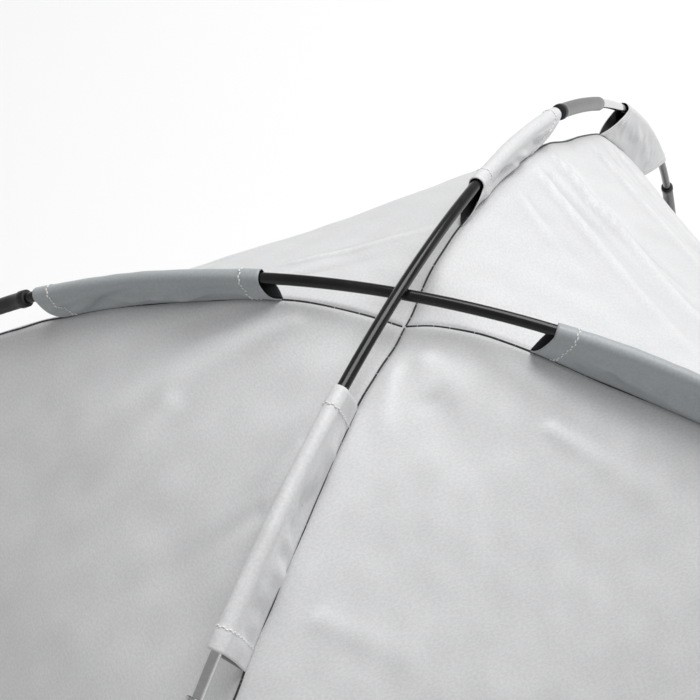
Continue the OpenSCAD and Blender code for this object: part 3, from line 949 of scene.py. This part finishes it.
def startDisc(name, corner, station, lift, radius):
    deselectAll()
    ahead = Vector(spot(corner, station + 0.001, lift) - spot(corner, station, lift))
    bpy.ops.mesh.primitive_circle_add(
        vertices=rods["sides"], radius=radius, fill_type="NGON", location=spot(corner, station, lift),
        rotation=ahead.to_track_quat("Z", "Y").to_euler())
    piece = bpy.context.object
    piece.name = piece.data.name = name
    startEdit()
    return piece


def closeMesh(piece, bevel=0.0):
    faceOutwards(mergeFirst=True)
    endEdit()
    pickOnly(piece)
    bpy.ops.object.transform_apply(location=True, rotation=True, scale=True)
    if bevel:
        soften = piece.modifiers.new("softEdge", "BEVEL")
        soften.width = bevel
        soften.segments = 2
        soften.limit_method = "ANGLE"
        soften.angle_limit = math.radians(40)
        applyModifiers(piece)
    bpy.ops.object.shade_smooth_by_angle(angle=math.radians(35))


def makeRod(name, corner, start, end, key):
    lift = poleLift(corner)
    piece = startDisc(name + "_lacquered", corner, start, lift, path["poleWidth"] / 2)
    carryAlong(corner, start, end, lift)
    closeMesh(piece)
    setFinish(piece, key)
    rideOn(piece, "tent", "pole_rod", name)


# How far down a leg's line a CAD piece reaches, as a station along the pole.
def lastStation(corner, name):
    first = Vector(spot(corner, legStart, poleLift(corner)))
    ahead = (Vector(spot(corner, footStation, poleLift(corner))) - first).normalized()
    node = nodes[name]
    return legStart + max((node.matrix_world @ v.co - first).dot(ahead) for v in node.data.vertices)


def makeFerrule(corner, joint, name, key, rimKey):
    lift = poleLift(corner)
    bore = path["poleWidth"] / 2
    mouth = joint - ferrule["socketDepth"]
    end = mouth + ferrule["length"]
    piece = startDisc(name + "_tube", corner, mouth, lift, bore + ferrule["wall"])
    if joint == legStart:
        down = Vector(spot(corner, legStart + 0.02, lift) - spot(corner, legStart + 0.01, lift)).normalized()
        rim = down * ferrule["rimWidth"]
        whole = Vector(spot(corner, end, lift) - spot(corner, mouth, lift))
        for move in (rim, whole - rim):
            bpy.ops.mesh.extrude_region_move(TRANSFORM_OT_translate={"value": move})
    else:
        hub = Vector(spot(corner, path["roofArc"] + 0.001, -path["shoulderRadius"]))
        first = Vector(spot(corner, mouth, lift)) - hub
        last = Vector(spot(corner, end, lift)) - hub
        turn = first.angle(last)
        small = turn * ferrule["rimWidth"] / ferrule["length"]
        for steps, angle in ((2, small), (12, turn - small)):
            bpy.ops.mesh.spin(steps=steps, angle=angle, center=hub, axis=-acrossOf(corner))
    faceOutwards(mergeFirst=True)
    start = Vector(spot(corner, mouth, lift))
    ahead = Vector(spot(corner, mouth + 0.004, lift) - spot(corner, mouth, lift)).normalized()

    def pickFaces(low, high, edges):
        bpy.ops.mesh.select_all(action="DESELECT")
        endEdit()
        for face in piece.data.polygons:
            reach = (piece.matrix_world @ face.center - start).dot(ahead)
            face.select = low < reach < high and len(face.vertices) == edges
        bpy.ops.object.mode_set(mode="EDIT")

    pickFaces(0.0001, ferrule["rimWidth"], 4)
    bpy.ops.mesh.extrude_region_shrink_fatten(TRANSFORM_OT_shrink_fatten={"value": ferrule["rimHeight"]})
    pickFaces(-0.0001, 0.0001, rods["sides"])
    bpy.ops.mesh.inset(thickness=ferrule["wall"] - ferrule["mouthGap"])
    bpy.ops.mesh.extrude_region_move(TRANSFORM_OT_translate={"value": ahead * ferrule["recess"]})
    closeMesh(piece, ferrule["bevel"])
    setFinish(piece, key, rimKey, "paintedShadeInside")
    # The bore and the socket mouth take the near-black third finish, painted shade; a band next to the mouth
    # takes the rim finish.
    outer = bore + ferrule["wall"]
    for face in piece.data.polygons:
        offset = face.center - start
        reach = offset.dot(ahead)
        away = (offset - ahead * reach).length
        if away < outer - 0.0006 and reach < ferrule["recess"] + 0.001:
            face.material_index = 2
        elif reach < ferrule["rimBand"]:
            face.material_index = 1
    rideOn(piece, "tent", "ferrule", name)


gap = rods["buttGap"]
black = ("blackMetal", "blackMetal")
for name, corner, key in (("over_pole_center", 2, "overRod"), ("under_pole_center", 1, "underRod")):
    end = path["roofArc"] - gap
    makeRod(name, corner, -end, end, key)
for corner in range(4):
    key = "overRod" if isOver(corner) else "underRod"
    makeRod(corners[corner] + "_shoulder_rod", corner, path["roofArc"] + gap, legStart - gap, key)
    legEnd = lastStation(corner, corners[corner] + "_leg_rod")
    makeRod(corners[corner] + "_leg_rod", corner, legStart + gap, legEnd, key)
    # On the back-right upper ferrule the rim band is near-black plastic, painted shade of the socket mouth.
    tone, rim = (("steel", "steel"), black, ("dullSteel", "plastic"), black)[corner]
    makeFerrule(corner, path["roofArc"], corners[corner] + "_upper_ferrule", tone, rim)
    makeFerrule(corner, legStart, corners[corner] + "_lower_ferrule", *black)
print("poles ready")

for name, node in nodes.items():
    for part, key in (("shock_cord", "cord"), ("pole_tip", "plastic"), ("webbing", "webbing"),
                      ("eyelets", "nickel"), ("slider", "gunmetal"), ("pull", "gunmetal"),
                      ("_zip", "zipTape"), ("mesh", "net"), ("_flap", "flap"), ("groundsheet", "ground")):
        if part in name:
            setFinish(node, key)
            break

zips = {
    "width": 0.016, "underlap": 0.005, "tapeDrop": 0.00125, "tapeThickness": 0.0006, "flapGap": 0.0003,
    "sillGap": 0.0012, "toothPitch": 0.0022, "toothLength": 0.0046, "toothWidth": 0.0019,
    "stitchInsets": (0.0035, 0.0095), "stitchPitch": 0.0032, "stitchLength": 0.0025,
    "stitchWidth": 0.0008, "netDepth": 0.0042, "netMargin": 0.008,
}


# Points of a half ring on the wall, from its inner to its outer radius.
def halfRing(wall, inner, outer, rows, columns, rise, lowest=0.0):
    spec = doorway[wall]
    radius = np.linspace(inner, outer, rows)[:, None]
    angle = np.linspace(0, math.pi, columns)[None]
    across = radius * np.cos(angle)
    height = spec["sill"] + lowest + radius * np.sin(angle) * (outer - lowest) / outer
    return onWall(wall, across, height, rise), across, height


def makeZip(wall):
    spec = doorway[wall]
    name = spec["flap"]
    outer = spec["radius"] + zips["underlap"]
    inner = spec["radius"] - zips["width"] - zips["underlap"]
    points, _, _ = halfRing(wall, inner, outer, 8, 200, -zips["tapeDrop"])
    radius = np.linspace(inner, outer, 8)[:, None]
    along = np.linspace(0, math.pi, 200)[None] * (inner + outer) / 2
    tape = clothMesh(name + "_zip_tape", points, radius, along)
    setFinish(tape, "zipTape")
    thicken(tape, zips["tapeThickness"])
    rideOn(tape, "tent", "zip_tape", name + "_zip")
    middle = spec["radius"] - zips["width"] / 2
    angle = np.linspace(0.006, math.pi - 0.006, 700)
    coil = onWall(wall, middle * np.cos(angle), spec["sill"] + middle * np.sin(angle), -0.0002)
    outward = np.broadcast_to(flatFrame(wall)[3], coil.shape)
    row = stitchRow(coil, outward, zips["toothPitch"], zips["toothLength"], zips["toothWidth"], sideways=True)
    teeth = stitchPiece(name + "_zip_teeth", [row], "zipCoil")
    rideOn(teeth, "tent", "zip_metal")
    area = math.pi * (outer**2 - inner**2) / 2
    math.pi * (inner + outer) / 2
    outer - inner
    wall + "_canopy_cloth"
    area * 0.999


def makeFlap(wall):
    spec = doorway[wall]
    name = spec["flap"] + "_flap"
    radius = spec["radius"] - zips["width"] - zips["flapGap"]
    points, across, height = halfRing(wall, 0.0005, radius, 70, 150, 0.0, zips["sillGap"])
    flap = clothMesh(name + "_cloth", points, across, height)
    mergeDoubles(flap, 1e-5)
    setFinish(flap, "flap", "canopyBack")
    thicken(flap, canopy["thickness"], 1)
    rideOn(flap, name, "canopy", name)
    rows = []
    for inset in zips["stitchInsets"]:
        edge = radius - inset
        angle = np.linspace(0.02, math.pi - 0.02, 500)
        rise = spec["sill"] + zips["sillGap"] + edge * np.sin(angle)
        rows.append(wallStitches(wall, edge * np.cos(angle), rise))
    stitches = stitchPiece(name + "_stitches", rows)
    rideOn(stitches, name, "seam")
    2 * radius
    spec["flap"] + "_zip_tape"
    math.pi * radius**2 / 2


# A row of stitches on the wall, through places given across it and up from its foot.
def wallStitches(wall, across, height):
    line = onWall(wall, across, height, 0.0002)
    outward = np.broadcast_to(flatFrame(wall)[3], line.shape)
    return stitchRow(line, outward, zips["stitchPitch"], zips["stitchLength"], zips["stitchWidth"])


# Binding stitches round the doorway, on the canopy, and along its sill.
def makeDoorwayStitches(wall):
    spec = doorway[wall]
    rows = []
    for outset in zips["stitchInsets"]:
        edge = spec["radius"] + outset
        angle = np.linspace(0, math.pi, 500)
        rows.append(wallStitches(wall, edge * np.cos(angle), spec["sill"] + edge * np.sin(angle)))
        across = np.linspace(-edge, edge, 400)
        rows.append(wallStitches(wall, across, 0 * across + spec["sill"] - outset))
    rideOn(stitchPiece(spec["flap"] + "way_stitches", rows), "tent", "seam")


def makeNet():
    outer = doorway["back"]["radius"] + zips["netMargin"]
    points, across, height = halfRing("back", 0.0005, outer, 40, 90, -zips["netDepth"])
    net = clothMesh("window_net", points, across, height)
    mergeDoubles(net, 1e-5)
    setFinish(net, "net")
    thicken(net, 0.0004)
    rideOn(net, "tent", "mesh", "window_mesh")
    2 * outer
    math.pi * outer**2 / 2


for wall in doorway:
    makeZip(wall)
    makeFlap(wall)
    makeDoorwayStitches(wall)
makeNet()
print("door and window ready")

ground = {"thickness": 0.0016, "top": 0.0022, "wave": 0.00012, "tabWidth": 0.025,
          "tabLength": 0.110, "tabLow": 0.0006, "tabTop": 0.0021, "eyeletHole": 0.0061}


def makeGroundsheet():
    low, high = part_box("groundsheet")
    across = np.linspace(low.x, high.x, 90)[None]
    along = np.linspace(low.y, high.y, 76)[:, None]
    height = ground["top"] + ground["wave"] * (ripple(across, along, 0.12, 7) - 1)
    points = np.stack(np.broadcast_arrays(across, along, height), -1)
    sheet = clothMesh("groundsheet_film", points[::-1], across, along[::-1])
    pickOnly(sheet)
    startEdit()
    for corner in range(4):
        turn = cornerAngle(corner)
        facing = Vector((math.cos(turn), math.sin(turn), 0))
        bpy.ops.mesh.select_all(action="SELECT")
        bpy.ops.mesh.bisect(plane_co=facing * tabStart(corner), plane_no=facing, clear_outer=True)
    faceOutwards()
    endEdit()
    if sheet.data.polygons[0].normal.z < 0:
        sheet.data.flip_normals()
    setFinish(sheet, "ground")
    thicken(sheet, ground["thickness"])
    rideOn(sheet, "tent", "groundsheet", "groundsheet")


# The tab's near end, from its node's farthest reach along the diagonal.
def tabStart(corner):
    node = nodes[corners[corner] + "_corner_webbing"]
    turn = cornerAngle(corner)
    reach = [v.co.x * math.cos(turn) + v.co.y * math.sin(turn) for v in node.data.vertices]
    return min(reach)


# Points at distances out along a corner's diagonal and across it.
def onGround(corner, rho, across, height):
    turn = cornerAngle(corner)
    x = rho * math.cos(turn) - across * math.sin(turn)
    y = rho * math.sin(turn) + across * math.cos(turn)
    return np.stack([x, y, height + 0 * x], -1)


def makeTab(corner):
    start = tabStart(corner)
    rho = start + 0.0001 + np.linspace(0, ground["tabLength"] - 0.0002, 60)[:, None]
    half = ground["tabWidth"] / 2
    side = np.linspace(-half, half, 16)[None]
    curl = 0.0003 * np.cos(np.pi * side / half / 2) * np.sin(math.pi * (rho - start) / ground["tabLength"])
    height = ground["tabTop"] - 0.0003 + curl
    points = onGround(corner, rho, side, height)
    name = corners[corner] + "_corner_webbing"
    tab = clothMesh(name + "_strap", points, side, rho)
    setFinish(tab, "webbing")
    thicken(tab, ground["tabTop"] - ground["tabLow"] - 0.0003)
    for hole in eyeletPlaces(corner):
        deselectAll()
        radius = ground["eyeletHole"]
        bpy.ops.mesh.primitive_cylinder_add(vertices=48, radius=radius, depth=0.02, location=hole)
        punch = bpy.context.object
        cut = tab.modifiers.new("eyeletHole", "BOOLEAN")
        cut.object = punch
        applyModifiers(tab)
        bpy.data.objects.remove(punch)
    rows = []
    for place in (0.004, 0.010, 0.016):
        line = np.linspace(-half + 0.002, half - 0.002, 40)
        marks = onGround(corner, start + place, line, ground["tabTop"] + 0.0001)
        rows.append(stitchRow(marks, np.broadcast_to((0.0, 0.0, 1.0), marks.shape), 0.003, 0.0024, 0.0009))
    stitches = stitchPiece(name + "_stitches", rows)
    rideOn(stitches, "tent", "seam")
    rideOn(tab, "tent", "webbing", name)


# The middles of the two eyelets on a tab, read from the eyelets' node.
def eyeletPlaces(corner):
    turn = cornerAngle(corner)
    rim = [v.co for v in nodes["corner_eyelets"].data.vertices]
    reach = [v.x * math.cos(turn) + v.y * math.sin(turn) for v in rim]
    side = [abs(v.y * math.cos(turn) - v.x * math.sin(turn)) for v in rim]
    mine = sorted(r for r, s in zip(reach, side) if r > 0.5 and s < 0.03)
    middle = (mine[0] + mine[-1]) / 2
    groups = [[r for r in mine if r < middle], [r for r in mine if r > middle]]
    rhos = [(group[0] + group[-1]) / 2 for group in groups]
    return [Vector((rho * math.cos(turn), rho * math.sin(turn), 0)) for rho in rhos]


makeGroundsheet()
for corner in range(4):
    makeTab(corner)

# The elastic cords inside the poles, from tip to tip.
elastic = {"width": 0.0026}
for name, corner in (("over_pole_shock_cord", 2), ("under_pole_shock_cord", 1)):
    lift = poleLift(corner)
    end = lastStation(corner, name)
    print(name, round(2 * end, 4))
    cord = startDisc(name + "_braid", corner, -end, lift, elastic["width"] / 2)
    stops = [-end, -legStart, -path["roofArc"], path["roofArc"], legStart, end]
    for start, stop in zip(stops, stops[1:]):
        carryAlong(corner, start, stop, lift)
    closeMesh(cord)
    setFinish(cord, "cord")
    rideOn(cord, "tent", "shock_cord", name)
print("ground, tabs and cords ready")

studio = {
    "floorTone": 0.94, "skyTone": 0.37, "horizonTone": 0.66, "bandTop": 0.26, "bandBottom": 0.10,
    "keyFrom": (2.6, 0.9, 6.0), "keySize": (4.4, 4.4), "keyPower": 345,
}

camera = {"at": (-0.3214, -0.7189, 1.9033), "heading": -21.2, "pitch": 47.93, "roll": -3.63, "lens": 83.45}


def addCamera():
    data = bpy.data.cameras.new("tentCamera")
    data.lens = camera["lens"]
    data.sensor_width = 36
    data.clip_start = 0.02
    made = addToScene("tentCamera", data)
    turn = Matrix.Rotation(math.radians(camera["heading"]), 4, "Z")
    turn = turn @ Matrix.Rotation(math.radians(90 - camera["pitch"]), 4, "X")
    turn = turn @ Matrix.Rotation(math.radians(camera["roll"]), 4, "Z")
    made.matrix_world = Matrix.Translation(camera["at"]) @ turn
    bpy.context.scene.camera = made


def addFloor():
    deselectAll()
    bpy.ops.mesh.primitive_plane_add(size=14)
    floor = bpy.context.object
    floor.name = "studioFloor"
    paint = Paint("studioFloor", rough=0.9, color=grey(studio["floorTone"]), specular=0.1)
    floor.data.materials.append(paint.material)


def addSoftbox(name, place, aim, size, power):
    data = bpy.data.lights.new(name, "AREA")
    data.shape = "RECTANGLE"
    data.size, data.size_y = size
    data.energy = power
    made = addToScene(name, data)
    made.location = place
    made.rotation_euler = (Vector(aim) - Vector(place)).to_track_quat("-Z", "Y").to_euler()


# A pale horizon under a softer sky, so that every side has a light backdrop.
def addWorld():
    world = bpy.data.worlds.new("studioWorld")
    world.use_nodes = True
    sky = NodeTree(world.node_tree)
    place = sky.node("ShaderNodeTexCoord", output="Generated")
    height = sky.node("ShaderNodeSeparateXYZ", None, {0: place}, output="Z")
    stops = [(studio["bandBottom"], studio["horizonTone"]), (studio["bandTop"], studio["skyTone"])]
    tone = sky.node("ShaderNodeValToRGB", {"stops": stops}, {"Fac": height}, output="Color")
    sky.feed(sky.tree.nodes["Background"].inputs["Color"], tone)
    bpy.context.scene.world = world


addCamera()
addFloor()
addWorld()
addSoftbox("keySoftbox", studio["keyFrom"], (0, 0, 0.9), studio["keySize"], studio["keyPower"])
bpy.context.scene.view_settings.view_transform = "Standard"
print("studio ready")
